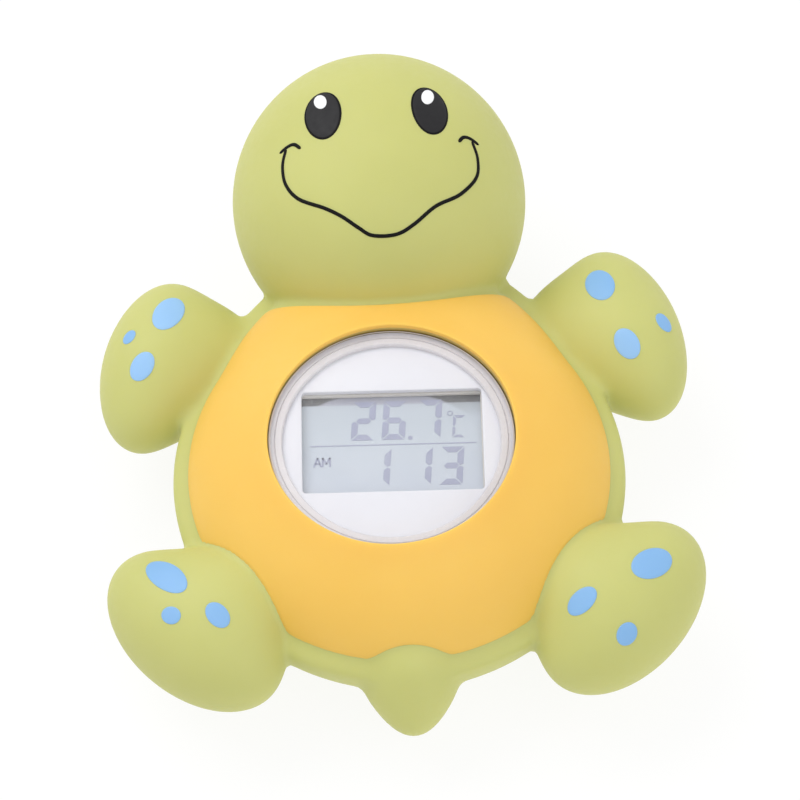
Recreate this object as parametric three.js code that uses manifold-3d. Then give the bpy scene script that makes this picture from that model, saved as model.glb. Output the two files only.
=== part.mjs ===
// Floating bath and pool thermometer in the shape of a turtle.
// A hollow soft vinyl turtle holds a round, sealed thermometer module, whose clear cover looks out of the
// shell and whose base stands out of the belly. Millimetres, +Z up, head towards +Y, tail towards -Y.
import * as THREE from 'three';
import { mergeVertices } from 'three/addons/utils/BufferGeometryUtils.js';
import Module from 'manifold-3d';

const wasm = await Module();
wasm.setup();

// ---------------------------------------------------------------- driving dimensions

// Vinyl turtle. Lobes are ellipsoids: centre, radii, and a turn about Z in degrees.
// Heights are above the surface that it stands on, and Y is measured from the shell's axis.
const WALL = 2.2;
const RIM = { radius: 39.3, height: 19.5 };
const BELLY = { roundFrom: 18, bottom: 2.0 };
const SHELL = { radius: 36.5, height: 18, rise: 20, edgeHeight: 21.6 };
// Past this Y the trunk is drawn out towards the neck.
const NECK_STRETCH = { from: 19.5, factor: 1.4 };
const LENS_OPENING_RADIUS = 21.5;
const BELLY_OPENING_RADIUS = 24.3;
const HEAD = { centre: [0, 53.1, 24.5], radii: [26.1, 27.1, 24.5], turn: 0 };
const ARM = { centre: [41.6, 26.7, 16.8], radii: [9.4, 16.8, 10.0], turn: 15.6 };
const SHOULDER = { centre: [35.1, 27.5, 15.5], radii: [12.5, 10.4, 8.8], turn: -42 };
const LEG = { centre: [36.4, -26.4, 17.2], radii: [17.7, 11.3, 11.5], turn: 46 };
const HIP = { centre: [30.0, -22.6, 16.6], radii: [11.0, 11.5, 10.8], turn: 46 };
const TAIL = { centre: [0, -34.4, 15.0], radii: [7.9, 10.5, 9.8], turn: 0 };
const TAIL_TIP = { centre: [0, -40.6, 12.4], radii: [3.7, 4.6, 3.6], turn: 0 };

// Thermometer module. Its axis is the shell's axis, set a little to one side by the soft opening.
const MODULE_SHIFT = -1.15;
const MODULE_TURN = -2.3;
const COVER = { radius: 21, top: 34, thickness: 1.4, bore: 19.1, skirtFoot: 30.2, flangeFoot: 28.9 };
const FLANGE_RADIUS = 23.6;
const BASE = { bezel: 23.9, bezelTop: 2.6, wall: 22.0, bore: 20.4, floor: 2.4, flare: 26.6, top: 28.6 };
const BASE_CHAMFER = 0.5;
const MAIN_SEAL = { radius: 22.0, section: 0.55, height: 28.2 };
const FACEPLATE = { radius: 18.8, bottom: 31.3, top: 32.3 };
const WINDOW = { width: 30.7, depth: 19.5 };
const LCD_FRAME = { radius: 18.9, bottom: 22.2, top: 31.1, ledge: 30.6, pocketWidth: 31.4, pocketDepth: 20.4 };
const LCD = { width: 31.0, depth: 20.0, rearDepth: 16.2, glass: 0.9, film: 0.2 };
const LCD_HEIGHTS = { reflector: 27.5, rearGlass: 27.9, frontGlass: 29.1, polariser: 30.2 };
const ZEBRA = { width: 29, thickness: 1.4, offset: 9.1, bottom: 22.0, top: 28.9 };
const BOARD = { radius: 20.0, bottom: 20.6, top: 21.8, screwHole: 1.3, boardScrewHole: 1.0 };

// Fasteners: four case screws on a circle, two board screws on the Y axis.
const SCREW_CIRCLE = 17.9;
const CASE_SCREW = { head: 1.8, shank: 1.0, bottom: 0.9, neck: 2.2, tip: 27.0, slot: 0.5, slotDepth: 0.6 };
const SCREW_POST = { radius: 2.7, bore: 1.25, top: 20.3, recess: 2.1, recessTop: 2.4 };
const SCREW_BOSS = { radius: 2.2, bore: 1.15, bottom: 22.1, boreTop: 27.6 };
const BOSS_CLEARANCE = { radius: 2.6, top: 30.5 };
const BOARD_SCREW = { offset: 14.5, head: 1.5, shank: 0.75, bottom: 19.3, neck: 20.3, tip: 26.0 };
const BOARD_SCREW_BORE = { radius: 0.95, top: 26.5 };

// Battery, its well in the base and the screw-in door below it.
const BATTERY = { radius: 10, bottom: 9.1, top: 12.3, edge: 0.3 };
const WELL = { bore: 10.9, wall: 13.6, top: 13.0, seatRadius: 12.6, seatTop: 2.9 };
const DOOR = { flange: 12.3, bottom: 0.2, flangeTop: 1.8, plug: 10.6, cup: 9.2, cupFloor: 3.4, top: 9.0 };
const COIN_SLOT = { length: 15, width: 1.9, depth: 1.1 };
const DOOR_SEAL = { radius: 11.75, halfWidth: 0.6, height: 2.35, halfHeight: 0.45 };
const CONTACT = { thickness: 0.3, width: 4, top: 20.4 };

// Controls and sensor, in the base's floor.
const BUTTON = { offset: 17.2, cap: 2.5, bottom: 0.4, flange: 3.0, flangeBottom: 2.7, flangeTop: 3.5 };
const BUTTON_STEM = { radius: 0.9, top: 17.15 };
const BUTTON_BORE = { radius: 2.65, groove: 3.3, grooveBottom: 0.9, grooveTop: 1.7 };
const BUTTON_SEAL = { inner: 2.56, outer: 3.24, bottom: 0.96, top: 1.64 };
const SWITCH = { side: 4, bottom: 18.3, top: 20.4, plunger: 0.9, plungerBottom: 17.8 };
const SENSOR = { offset: -17.2, radius: 2.3, wall: 0.35, bottom: 0.5, top: 7, flange: 3.0, flangeHeight: 0.4 };
const SENSOR_FLANGE_BOTTOM = 2.8;
const SENSOR_BORE = { radius: 2.5, dish: 4.4, dishTop: 0.9, seat: 3.25, seatBottom: 1.6 };
const SENSOR_SEAL = { inner: 2.4, outer: 3.15, bottom: 1.7, top: 2.6 };
const THERMISTOR = { radius: 1.0, height: 2.6 };
const CABLE = { width: 1.6, thickness: 0.6, bottom: 3.9, top: 20.4 };

const ROUND = { large: 40, medium: 28, small: 12 };

// ---------------------------------------------------------------- materials

const makeMaterial = (color, roughness, metalness = 0, extra = {}) =>
  new THREE.MeshStandardMaterial({ color, roughness, metalness, ...extra });

const vinyl = makeMaterial(0xced37d, 0.6);
const clearPlastic = makeMaterial(0xf4f6f8, 0.08, 0, { transparent: true, opacity: 0.35 });
const whitePlastic = makeMaterial(0xebebf3, 0.45);
const whiteGloss = makeMaterial(0xf0f0f2, 0.3);
const lcdGlass = makeMaterial(0xc8d4dc, 0.1);
const lcdFilm = makeMaterial(0xb9c4c6, 0.35);
const boardGreen = makeMaterial(0x1d6b3a, 0.5);
const blackEpoxy = makeMaterial(0x151515, 0.55);
const blackRubber = makeMaterial(0x202020, 0.85);
const greyRubber = makeMaterial(0x6f7275, 0.8);
const steel = makeMaterial(0xb8bcc0, 0.3, 1);
const ceramic = makeMaterial(0xb79b72, 0.6);

// ---------------------------------------------------------------- geometry helpers

// A solid of revolution about Z. The points are [radius, height], counter-clockwise about the section.
function turned(points, segments) {
  const outline = points.map(([radius, height]) => new THREE.Vector2(radius, height));
  const geometry = new THREE.LatheGeometry(outline, segments);
  return geometry.rotateX(Math.PI / 2);
}

function disc(radius, bottom, top, segments) {
  return turned([[0, bottom], [radius, bottom], [radius, top], [0, top]], segments);
}

function tube(inner, outer, bottom, top, segments) {
  return turned([[inner, bottom], [outer, bottom], [outer, top], [inner, top], [inner, bottom]], segments);
}

// A ring of elliptical section, such as a seal.
function sealRing(radius, halfWidth, height, halfHeight, segments) {
  const sides = 6;
  const points = [];
  for (let i = 0; i <= sides; i += 1) {
    const angle = (i % sides) / sides * 2 * Math.PI;
    points.push([radius + halfWidth * Math.cos(angle), height + halfHeight * Math.sin(angle)]);
  }
  return turned(points, segments);
}

function block(width, depth, bottom, top) {
  return new THREE.BoxGeometry(width, depth, top - bottom).translate(0, 0, (bottom + top) / 2);
}

// An ellipsoid lobe of the turtle, drawn in by `inset` on every side.
function lobe({ centre, radii, turn }, inset, segments) {
  const geometry = new THREE.SphereGeometry(1, segments, Math.round(segments * 0.55));
  geometry.rotateX(Math.PI / 2);
  geometry.scale(radii[0] - inset, radii[1] - inset, radii[2] - inset);
  geometry.rotateZ(THREE.MathUtils.degToRad(turn));
  return geometry.translate(...centre);
}

function mirroredX(spec) {
  return { centre: [-spec.centre[0], spec.centre[1], spec.centre[2]], radii: spec.radii, turn: -spec.turn };
}

// A bent strip of sheet metal: its centre line runs through [x, z] points, and its width is along Y.
function strip(line, thickness, width) {
  const points = line.map(([x, z]) => new THREE.Vector2(x, z));
  const sides = points.map((point, i) => {
    const along = points[Math.min(i + 1, points.length - 1)].clone().sub(points[Math.max(i - 1, 0)]).normalize();
    return new THREE.Vector2(-along.y, along.x).multiplyScalar(thickness / 2);
  });
  const left = points.map((point, i) => point.clone().add(sides[i]));
  const right = points.map((point, i) => point.clone().sub(sides[i])).reverse();
  const outline = new THREE.Shape([...left, ...right]);
  const geometry = new THREE.ExtrudeGeometry(outline, { depth: width, bevelEnabled: false });
  return geometry.rotateX(Math.PI / 2).translate(0, width / 2, 0);
}

// ---------------------------------------------------------------- booleans

// A closed geometry as a solid that can be joined and cut.
function solid(geometry) {
  const bare = geometry.clone();
  bare.deleteAttribute('normal');
  bare.deleteAttribute('uv');
  const merged = mergeVertices(bare, 1e-4);
  const corners = merged.index.array;
  const triVerts = [];
  for (let i = 0; i < corners.length; i += 3) {
    const [a, b, c] = [corners[i], corners[i + 1], corners[i + 2]];
    if (a !== b && b !== c && c !== a) triVerts.push(a, b, c);
  }
  const mesh = new wasm.Mesh({
    numProp: 3,
    vertProperties: Float32Array.from(merged.attributes.position.array),
    triVerts: Uint32Array.from(triVerts),
  });
  return new wasm.Manifold(mesh);
}

function geometryOf(body) {
  const mesh = body.getMesh();
  const geometry = new THREE.BufferGeometry();
  geometry.setAttribute('position', new THREE.BufferAttribute(mesh.vertProperties, 3));
  geometry.setIndex(new THREE.BufferAttribute(mesh.triVerts, 1));
  geometry.computeVertexNormals();
  return geometry;
}

const joined = (geometries) => geometries.map(solid).reduce((sum, next) => sum.add(next));
const cut = (body, geometries) => geometries.map(solid).reduce((rest, next) => rest.subtract(next), body);

// ---------------------------------------------------------------- places

const screwPlaces = [45, 135, 225, 315].map((degrees) => {
  const angle = THREE.MathUtils.degToRad(degrees);
  return [SCREW_CIRCLE * Math.cos(angle), SCREW_CIRCLE * Math.sin(angle)];
});
const boardScrewPlaces = [[0, BOARD_SCREW.offset], [0, -BOARD_SCREW.offset]];
const buttonPlaces = { set: [-BUTTON.offset, 0], adjust: [BUTTON.offset, 0] };
const sensorPlace = [0, SENSOR.offset];

const at = (geometry, [x, y], z = 0) => geometry.translate(x, y, z);

// ---------------------------------------------------------------- vinyl turtle

// The trunk's outline: belly, rim roll and shell, all drawn in by `inset`.
function trunkOutline(inset, steps) {
  const points = [[0, BELLY.bottom + inset]];
  const bellyWidth = RIM.radius - BELLY.roundFrom - inset;
  const bellyDepth = RIM.height - BELLY.bottom - inset;
  for (let i = 0; i <= steps; i += 1) {
    const angle = (i / steps) * Math.PI / 2;
    const radius = BELLY.roundFrom + bellyWidth * Math.sin(angle);
    points.push([radius, RIM.height - bellyDepth * Math.cos(angle)]);
  }
  const shellRadius = SHELL.radius - inset;
  const shellRise = SHELL.rise - inset;
  const start = Math.asin((SHELL.edgeHeight - SHELL.height) / shellRise);
  const end = Math.acos((LENS_OPENING_RADIUS - 1) / shellRadius);
  for (let i = 0; i <= steps; i += 1) {
    const angle = start + (i / steps) * (end - start);
    points.push([shellRadius * Math.cos(angle), SHELL.height + shellRise * Math.sin(angle)]);
  }
  points.push([0, points.at(-1)[1]]);
  return points;
}

function drawnToNeck(geometry) {
  const position = geometry.attributes.position;
  for (let i = 0; i < position.count; i += 1) {
    const past = Math.max(position.getY(i) - NECK_STRETCH.from, 0);
    position.setY(i, position.getY(i) + past * (NECK_STRETCH.factor - 1));
  }
  return geometry;
}

function turtleForm(inset, detail) {
  const limbs = [ARM, SHOULDER, LEG, HIP];
  return joined([
    drawnToNeck(turned(trunkOutline(inset, detail.steps), detail.trunk)),
    lobe(HEAD, inset, detail.head),
    ...limbs.map((limb) => lobe(limb, inset, detail.limb)),
    ...limbs.map((limb) => lobe(mirroredX(limb), inset, detail.limb)),
    lobe(TAIL, inset, detail.limb),
    lobe(TAIL_TIP, inset, detail.tip),
  ]);
}

function turtleSkin() {
  const outside = turtleForm(0, { steps: 5, trunk: 44, head: 28, limb: 16, tip: 12 });
  const inside = turtleForm(WALL, { steps: 5, trunk: 28, head: 16, limb: 10, tip: 8 });
  const openings = [
    disc(LENS_OPENING_RADIUS, RIM.height, COVER.top + 5, 44).translate(MODULE_SHIFT, 0, 0),
    disc(BELLY_OPENING_RADIUS, -1, RIM.height, 44).translate(MODULE_SHIFT, 0, 0),
  ];
  return geometryOf(cut(outside.subtract(inside), openings));
}

// ---------------------------------------------------------------- display end of the module

function clearCover() {
  const cap = turned([
    [0, COVER.top - COVER.thickness],
    [COVER.bore, COVER.top - COVER.thickness],
    [COVER.bore, COVER.flangeFoot],
    [FLANGE_RADIUS, COVER.flangeFoot],
    [FLANGE_RADIUS, COVER.skirtFoot],
    [COVER.radius, COVER.skirtFoot],
    [COVER.radius, COVER.top - 0.5],
    [COVER.radius - 0.15, COVER.top - 0.15],
    [COVER.radius - 0.5, COVER.top],
    [0, COVER.top],
  ], ROUND.large);
  const bosses = screwPlaces.map((place) =>
    at(disc(SCREW_BOSS.radius, SCREW_BOSS.bottom, COVER.skirtFoot, ROUND.small), place));
  const bores = screwPlaces.map((place) =>
    at(disc(SCREW_BOSS.bore, SCREW_BOSS.bottom - 1, SCREW_BOSS.boreTop, ROUND.small), place));
  return geometryOf(cut(joined([cap, ...bosses]), bores));
}

function faceplate() {
  const plate = solid(disc(FACEPLATE.radius, FACEPLATE.bottom, FACEPLATE.top, ROUND.large));
  return geometryOf(cut(plate, [block(WINDOW.width, WINDOW.depth, FACEPLATE.bottom - 1, FACEPLATE.top + 1)]));
}

function lcdFrame() {
  const body = solid(disc(LCD_FRAME.radius, LCD_FRAME.bottom, LCD_FRAME.top, ROUND.large));
  return geometryOf(cut(body, [
    block(LCD_FRAME.pocketWidth, LCD_FRAME.pocketDepth, LCD_FRAME.bottom - 1, LCD_FRAME.ledge),
    block(WINDOW.width, WINDOW.depth, LCD_FRAME.ledge - 1, LCD_FRAME.top + 1),
    ...screwPlaces.map((place) =>
      at(disc(BOSS_CLEARANCE.radius, LCD_FRAME.bottom - 1, BOSS_CLEARANCE.top, ROUND.small), place)),
    ...boardScrewPlaces.map((place) =>
      at(disc(BOARD_SCREW_BORE.radius, LCD_FRAME.bottom - 1, BOARD_SCREW_BORE.top, ROUND.small), place)),
  ]));
}

const lcdLayer = (depth, bottom, thickness) => block(LCD.width, depth, bottom, bottom + thickness);

const zebraStrip = (side) =>
  block(ZEBRA.width, ZEBRA.thickness, ZEBRA.bottom, ZEBRA.top).translate(0, side * ZEBRA.offset, 0);

// ---------------------------------------------------------------- electronics

function circuitBoard() {
  const board = solid(disc(BOARD.radius, BOARD.bottom, BOARD.top, ROUND.large));
  const hole = (radius, place) => at(disc(radius, BOARD.bottom - 1, BOARD.top + 1, ROUND.small), place);
  return geometryOf(cut(board, [
    ...screwPlaces.map((place) => hole(BOARD.screwHole, place)),
    ...boardScrewPlaces.map((place) => hole(BOARD.boardScrewHole, place)),
  ]));
}

const UNDER_BOARD = BOARD.bottom - 0.1;

function chipCover() {
  const radius = 3.4;
  const depth = 1.4;
  const points = [];
  for (let i = 0; i <= 4; i += 1) {
    const angle = (i / 4) * Math.PI / 2;
    points.push([radius * Math.sin(angle), UNDER_BOARD - depth * Math.cos(angle)]);
  }
  return at(turned([...points, [0, UNDER_BOARD]], ROUND.small), [6.5, -8]);
}

function quartzCrystal() {
  const can = new THREE.CylinderGeometry(1.0, 1.0, 6, ROUND.small).rotateZ(Math.PI / 2);
  return can.translate(-7, -9, UNDER_BOARD - 1.0);
}

const chipPart = (place) => at(block(2.0, 1.2, UNDER_BOARD - 0.9, UNDER_BOARD), place);

function tactSwitch(place) {
  const body = block(SWITCH.side, SWITCH.side, SWITCH.bottom, SWITCH.top);
  const plunger = disc(SWITCH.plunger, SWITCH.plungerBottom, SWITCH.bottom + 0.5, ROUND.small);
  return at(geometryOf(joined([body, plunger])), place);
}

function thermistor() {
  const bead = new THREE.SphereGeometry(THERMISTOR.radius, 10, 6);
  return at(bead, sensorPlace, THERMISTOR.height);
}

const thermistorCable = () => at(block(CABLE.width, CABLE.thickness, CABLE.bottom, CABLE.top), sensorPlace);

// ---------------------------------------------------------------- battery compartment

function batteryCell() {
  return turned([
    [0, BATTERY.bottom],
    [BATTERY.radius - BATTERY.edge, BATTERY.bottom],
    [BATTERY.radius, BATTERY.bottom + BATTERY.edge],
    [BATTERY.radius, BATTERY.top],
    [0, BATTERY.top],
  ], ROUND.medium);
}

// Bent down from the board, past the battery's edge, where it presses on the cell's side.
function positiveContact() {
  const side = BATTERY.radius + 0.3;
  return strip([[6, CONTACT.top], [side, CONTACT.top], [side + 0.1, 13], [side, BATTERY.bottom + 1.2]],
    CONTACT.thickness, CONTACT.width);
}

// A leaf spring from the board down to the middle of the cell's upper face.
function negativeContact() {
  const touch = BATTERY.top + CONTACT.thickness;
  return strip([[-9, CONTACT.top], [-5, CONTACT.top], [0, touch], [2.6, touch + 1.2]],
    CONTACT.thickness, CONTACT.width);
}

function batteryDoor() {
  const cap = solid(turned([
    [0, DOOR.bottom],
    [DOOR.flange, DOOR.bottom],
    [DOOR.flange, DOOR.flangeTop],
    [DOOR.plug, DOOR.flangeTop],
    [DOOR.plug, DOOR.top],
    [DOOR.cup, DOOR.top],
    [DOOR.cup, DOOR.cupFloor],
    [0, DOOR.cupFloor],
  ], ROUND.medium));
  const coinSlot = block(COIN_SLOT.length, COIN_SLOT.width, DOOR.bottom - 1, DOOR.bottom + COIN_SLOT.depth);
  return geometryOf(cut(cap, [coinSlot]));
}

const doorSeal = () =>
  sealRing(DOOR_SEAL.radius, DOOR_SEAL.halfWidth, DOOR_SEAL.height, DOOR_SEAL.halfHeight, ROUND.medium);

// ---------------------------------------------------------------- casing

function baseShell() {
  const shell = turned([
    [0, 0],
    [BASE.bezel - BASE_CHAMFER, 0],
    [BASE.bezel, BASE_CHAMFER],
    [BASE.bezel, BASE.bezelTop],
    [BASE.wall, BASE.bezelTop],
    [BASE.wall, BASE.flare],
    [FLANGE_RADIUS, BASE.flare + 1],
    [FLANGE_RADIUS, BASE.top],
    [BASE.bore, BASE.top],
    [BASE.bore, BASE.floor],
    [0, BASE.floor],
  ], ROUND.large);
  const wellWall = disc(WELL.wall, BASE.floor - 1, WELL.top, ROUND.medium);
  const posts = screwPlaces.map((place) =>
    at(disc(SCREW_POST.radius, BASE.floor - 1, SCREW_POST.top, ROUND.small), place));
  const screwHoles = screwPlaces.flatMap((place) => [
    at(disc(SCREW_POST.bore, -1, SCREW_POST.top + 1, ROUND.small), place),
    at(disc(SCREW_POST.recess, -1, SCREW_POST.recessTop, ROUND.small), place),
  ]);
  const buttonHoles = Object.values(buttonPlaces).flatMap((place) => [
    at(disc(BUTTON_BORE.radius, -1, BASE.floor + 1, ROUND.small), place),
    at(disc(BUTTON_BORE.groove, BUTTON_BORE.grooveBottom, BUTTON_BORE.grooveTop, ROUND.small), place),
  ]);
  const groove = MAIN_SEAL.section + 0.1;
  return geometryOf(cut(joined([shell, wellWall, ...posts]), [
    disc(WELL.bore, -1, WELL.top + 1, ROUND.medium),
    disc(WELL.seatRadius, -1, WELL.seatTop, ROUND.medium),
    ...screwHoles,
    ...buttonHoles,
    at(disc(SENSOR_BORE.radius, -1, BASE.floor + 1, ROUND.small), sensorPlace),
    at(disc(SENSOR_BORE.dish, -1, SENSOR_BORE.dishTop, ROUND.small), sensorPlace),
    at(disc(SENSOR_BORE.seat, SENSOR_BORE.seatBottom, BASE.floor + 1, ROUND.small), sensorPlace),
    tube(MAIN_SEAL.radius - groove, MAIN_SEAL.radius + groove, MAIN_SEAL.height - groove, BASE.top + 1, ROUND.large),
  ]));
}

const mainSeal = () =>
  sealRing(MAIN_SEAL.radius, MAIN_SEAL.section, MAIN_SEAL.height, MAIN_SEAL.section, ROUND.large);

function sensorCap() {
  const flangeTop = SENSOR_FLANGE_BOTTOM + SENSOR.flangeHeight;
  return at(turned([
    [0, SENSOR.bottom],
    [SENSOR.radius - 0.5, SENSOR.bottom],
    [SENSOR.radius, SENSOR.bottom + 0.5],
    [SENSOR.radius, SENSOR_FLANGE_BOTTOM],
    [SENSOR.flange, SENSOR_FLANGE_BOTTOM],
    [SENSOR.flange, flangeTop],
    [SENSOR.radius, flangeTop],
    [SENSOR.radius, SENSOR.top],
    [SENSOR.radius - SENSOR.wall, SENSOR.top],
    [SENSOR.radius - SENSOR.wall, SENSOR.bottom + SENSOR.wall],
    [0, SENSOR.bottom + SENSOR.wall],
  ], ROUND.small), sensorPlace);
}

const sensorSeal = () =>
  at(tube(SENSOR_SEAL.inner, SENSOR_SEAL.outer, SENSOR_SEAL.bottom, SENSOR_SEAL.top, ROUND.small), sensorPlace);

// ---------------------------------------------------------------- controls and screws

// A cap that a finger presses, a flange that keeps it in, and a push rod up to the switch.
function button(place) {
  return at(turned([
    [0, BUTTON.bottom],
    [BUTTON.cap - 0.4, BUTTON.bottom],
    [BUTTON.cap, BUTTON.bottom + 0.4],
    [BUTTON.cap, BUTTON.flangeBottom],
    [BUTTON.flange, BUTTON.flangeBottom],
    [BUTTON.flange, BUTTON.flangeTop],
    [BUTTON_STEM.radius, BUTTON.flangeTop],
    [BUTTON_STEM.radius, BUTTON_STEM.top],
    [0, BUTTON_STEM.top],
  ], ROUND.small), place);
}

const buttonSeal = (place) =>
  at(tube(BUTTON_SEAL.inner, BUTTON_SEAL.outer, BUTTON_SEAL.bottom, BUTTON_SEAL.top, ROUND.small), place);

const screwShape = ({ head, shank, bottom, neck, tip }) =>
  turned([[0, bottom], [head, bottom], [head, neck], [shank, neck], [shank, tip], [0, tip]], ROUND.small);

function caseScrew(place) {
  const { head, bottom, slot, slotDepth } = CASE_SCREW;
  const slotLength = head * 1.3;
  const cross = [[slotLength, slot], [slot, slotLength]].map(([width, depth]) =>
    block(width, depth, bottom - 1, bottom + slotDepth));
  return at(geometryOf(cut(solid(screwShape(CASE_SCREW)), cross)), place);
}

const boardScrew = (place) => at(screwShape(BOARD_SCREW), place);

// ---------------------------------------------------------------- assembly

function piece(name, geometry, material) {
  const mesh = new THREE.Mesh(geometry, material);
  mesh.name = name;
  return mesh;
}

function thermometerModule() {
  const module = new THREE.Group();
  module.position.x = MODULE_SHIFT;
  module.rotation.z = THREE.MathUtils.degToRad(MODULE_TURN);
  module.add(
    piece('clear_cover', clearCover(), clearPlastic),
    piece('faceplate', faceplate(), whitePlastic),
    piece('lcd_frame', lcdFrame(), whitePlastic),
    piece('lcd_front_polariser', lcdLayer(LCD.depth, LCD_HEIGHTS.polariser, LCD.film), lcdFilm),
    piece('lcd_front_glass', lcdLayer(LCD.depth, LCD_HEIGHTS.frontGlass, LCD.glass), lcdGlass),
    piece('lcd_rear_glass', lcdLayer(LCD.rearDepth, LCD_HEIGHTS.rearGlass, LCD.glass), lcdGlass),
    piece('lcd_reflector', lcdLayer(LCD.rearDepth, LCD_HEIGHTS.reflector, LCD.film), lcdFilm),
    piece('zebra_strip_upper', zebraStrip(1), greyRubber),
    piece('zebra_strip_lower', zebraStrip(-1), greyRubber),
    piece('circuit_board', circuitBoard(), boardGreen),
    piece('chip_cover', chipCover(), blackEpoxy),
    piece('quartz_crystal', quartzCrystal(), steel),
    piece('capacitor_left', chipPart([-3.5, 9]), ceramic),
    piece('capacitor_right', chipPart([1.5, 9]), ceramic),
    piece('resistor', chipPart([11, 7]), blackEpoxy),
    piece('thermistor', thermistor(), blackEpoxy),
    piece('thermistor_cable', thermistorCable(), greyRubber),
    piece('sensor_cap', sensorCap(), steel),
    piece('sensor_seal', sensorSeal(), blackRubber),
    piece('base_shell', baseShell(), whiteGloss),
    piece('main_seal', mainSeal(), blackRubber),
    piece('battery_cell', batteryCell(), steel),
    piece('positive_contact', positiveContact(), steel),
    piece('negative_contact', negativeContact(), steel),
    piece('battery_door', batteryDoor(), whiteGloss),
    piece('door_seal', doorSeal(), blackRubber),
    ...Object.entries(buttonPlaces).flatMap(([name, place]) => [
      piece(`${name}_button`, button(place), greyRubber),
      piece(`${name}_button_seal`, buttonSeal(place), blackRubber),
      piece(`${name}_switch`, tactSwitch(place), blackEpoxy),
    ]),
    ...screwPlaces.map((place, i) => piece(`case_screw_${i + 1}`, caseScrew(place), steel)),
    ...boardScrewPlaces.map((place, i) => piece(`board_screw_${i + 1}`, boardScrew(place), steel)),
  );
  return module;
}

// The origin is under the middle of the whole object, on the surface that it stands on.
const thermometer = new THREE.Group();
thermometer.add(piece('turtle_skin', turtleSkin(), vinyl), thermometerModule());
const noseY = HEAD.centre[1] + HEAD.radii[1];
const tailY = TAIL_TIP.centre[1] - TAIL_TIP.radii[1];
thermometer.position.y = -(noseY + tailY) / 2;

export default thermometer;
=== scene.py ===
"""Floating bath and pool thermometer in the shape of a turtle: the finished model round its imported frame.

The vinyl skin is meshed from a distance field of rounded lobes. The shell, the spots and the face are raised
paint fields that lie on it, and the display's parts are turned or cut to shape. Lengths are in millimetres in
the shell's frame: +Z up from the surface that the turtle stands on, Y from the shell's axis, the head towards
+Y.
"""
import math

import bmesh
import bpy
import numpy as np
from mathutils import Matrix, Vector


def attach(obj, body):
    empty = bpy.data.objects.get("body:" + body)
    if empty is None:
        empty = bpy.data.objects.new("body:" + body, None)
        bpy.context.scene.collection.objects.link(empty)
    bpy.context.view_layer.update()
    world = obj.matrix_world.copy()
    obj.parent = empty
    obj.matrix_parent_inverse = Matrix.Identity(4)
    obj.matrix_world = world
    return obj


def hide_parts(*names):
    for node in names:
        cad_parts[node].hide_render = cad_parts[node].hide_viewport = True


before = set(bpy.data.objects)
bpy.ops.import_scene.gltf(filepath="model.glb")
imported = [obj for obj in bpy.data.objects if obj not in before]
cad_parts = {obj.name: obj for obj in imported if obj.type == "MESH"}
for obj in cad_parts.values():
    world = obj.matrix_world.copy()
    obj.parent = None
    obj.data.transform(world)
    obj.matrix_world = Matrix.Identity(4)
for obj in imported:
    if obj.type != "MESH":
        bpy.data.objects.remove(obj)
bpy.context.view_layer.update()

# ---------------------------------------------------------------- driving dimensions

MM = 0.001
SHELL_AXIS_Y = -17.5            # the shell's axis in the object's frame
MODULE_SHIFT = -1.15            # the module's axis from the shell's
MODULE_TURN = math.radians(-2.3)
JOIN_DISTANCE = 0.001 * MM      # points nearer than this are one point

WALL = 2.2
RIM_RADIUS, RIM_HEIGHT, FLAT_RADIUS = 39.0, 19.5, 18.0
BELLY_DEPTH, ROLL_RISE = 17.5, 4.2
DOME_RADIUS, DOME_BASE, DOME_RISE, DOME_FOOT = 36.9, 18.0, 20.0, 14.0
NECK_FROM, NECK_DRAW = 19.0, 0.29
LENS_OPENING, BELLY_OPENING, OPENING_ROUND = 21.45, 24.4, 0.7

# Lobes: centre, radii, turn about Z in degrees. Arms and legs are repeated on the other side.
HEAD = ((-0.2, 53.0, 24.5), (26.0, 27.1, 24.5), 0)
ARM = ((41.5, 26.7, 16.8), (9.4, 16.8, 10.0), 15.6)
SHOULDER = ((35.1, 27.3, 15.5), (12.5, 10.7, 8.8), -42)
LEG = ((36.4, -26.4, 17.2), (17.7, 11.3, 11.5), 46)
HIP = ((30.0, -22.6, 16.6), (11.0, 11.5, 10.8), 46)
TAIL = ((-0.4, -33.9, 15.0), (8.9, 9.0, 9.5), 0)
TAIL_TIP = ((-0.3, -40.5, 12.4), (3.4, 4.4, 3.6), 0)
ARM_SHIFT = 0.35                # the casting isn't quite even: both arms lie a little to the right,
LEFT_DRAW, RIGHT_DRAW = 1.02, 0.993     # and the left limbs nearer to the middle than the right
LIMB_BLEND, ARM_BLEND, LEG_BLEND, HEAD_BLEND, RIM_BLEND = 6.0, 2.0, 1.2, 1.2, 0.9
SKIN_BOX = ((-61, -48, 0), (61, 82.5, 51))
SKIN_GRID, SKIN_GRID_QUICK = 0.8, 1.3

# Raised yellow shell.
SHELL_EDGE, SHELL_RAISE, SHELL_SINK, SHELL_ROUND = 36.6, 0.5, 0.8, 0.55
SHELL_NECK_MIDDLE, SHELL_NECK_CORNER, SHELL_NECK_BLEND = 26.8, (22.4, 33.4), 1.2
SHELL_LIMB_GAP, SHELL_LIMB_BLEND = 0.05, 0.8
SHELL_SEARCH = 46.0             # well outside the shell's edge
LIP_RADIUS, LIP_RISE, LIP_WIDTH, LIP_ROUND = 21.05, 0.7, 2.6, 0.35

# Display.
COVER_TOP, COVER_RADIUS, COVER_THICKNESS = 34.0, 21.0, 0.7
COVER_BORE, COVER_LIP = 19.1, 18.6      # inside the skirt, and inside its lip over the faceplate
FLANGE_RADIUS, FLANGE_FOOT, FLANGE_TOP = 23.6, 28.9, 30.2
PLATE_RADIUS, PLATE_BOTTOM, PLATE_TOP = 18.95, 31.3, 32.3
WINDOW, WINDOW_CENTRE = (31.1, 19.8), (0.15, 0.3)
DIGIT_FOOT, DIGIT_TOP = 30.41, 30.45


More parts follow.
